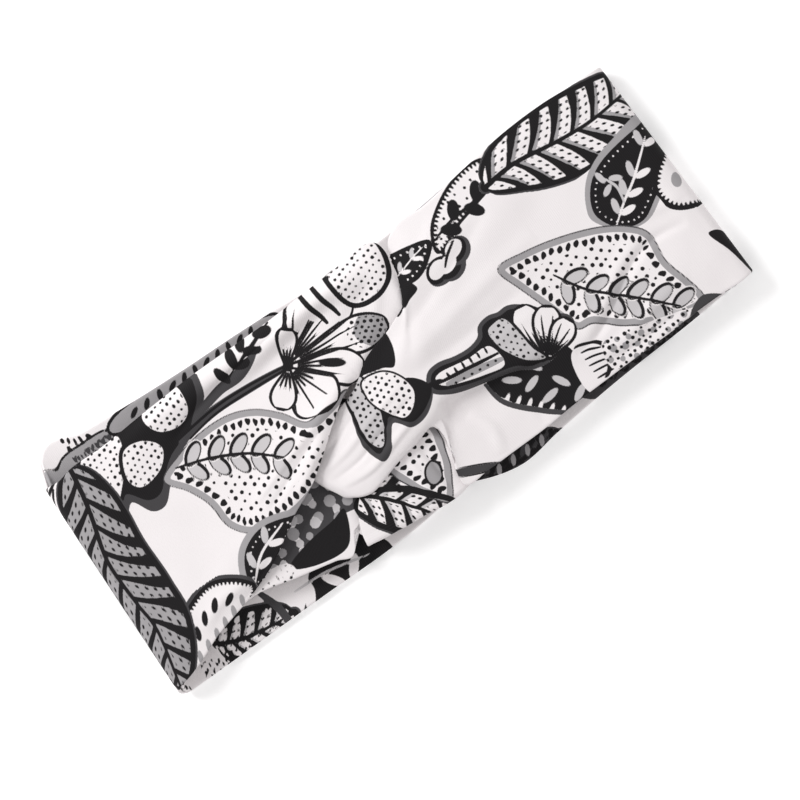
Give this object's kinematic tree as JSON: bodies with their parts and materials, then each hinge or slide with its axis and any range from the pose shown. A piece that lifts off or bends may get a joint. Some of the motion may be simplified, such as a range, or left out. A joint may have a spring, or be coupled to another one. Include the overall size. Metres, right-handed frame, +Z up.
{
  "type": "knotted headband",
  "caption": "Soft turban headband of printed jersey, two tubes hooked through each other in a front knot and joined at the back.",
  "frame": {"origin": "middle of the surface that the flat-lying headband rests on", "axes": "+X along the band, +Y across it, +Z up out of the surface, with the knot on top"},
  "size_m": [0.2476, 0.0979, 0.0213],
  "materials": {
    "printed_jersey": "fine jersey knit, warm white ground with a black and grey plant print",
    "seam_thread": "matte polyester sewing thread"
  },
  "bodies": {
    "root": {"left_band": "printed_jersey", "right_band": "printed_jersey", "left_tube_seam": "seam_thread", "right_tube_seam": "seam_thread", "back_seam_overlock": "seam_thread", "back_seam_needle_thread": "seam_thread", "back_seam_bobbin_thread": "seam_thread"}
  },
  "joints": []
}
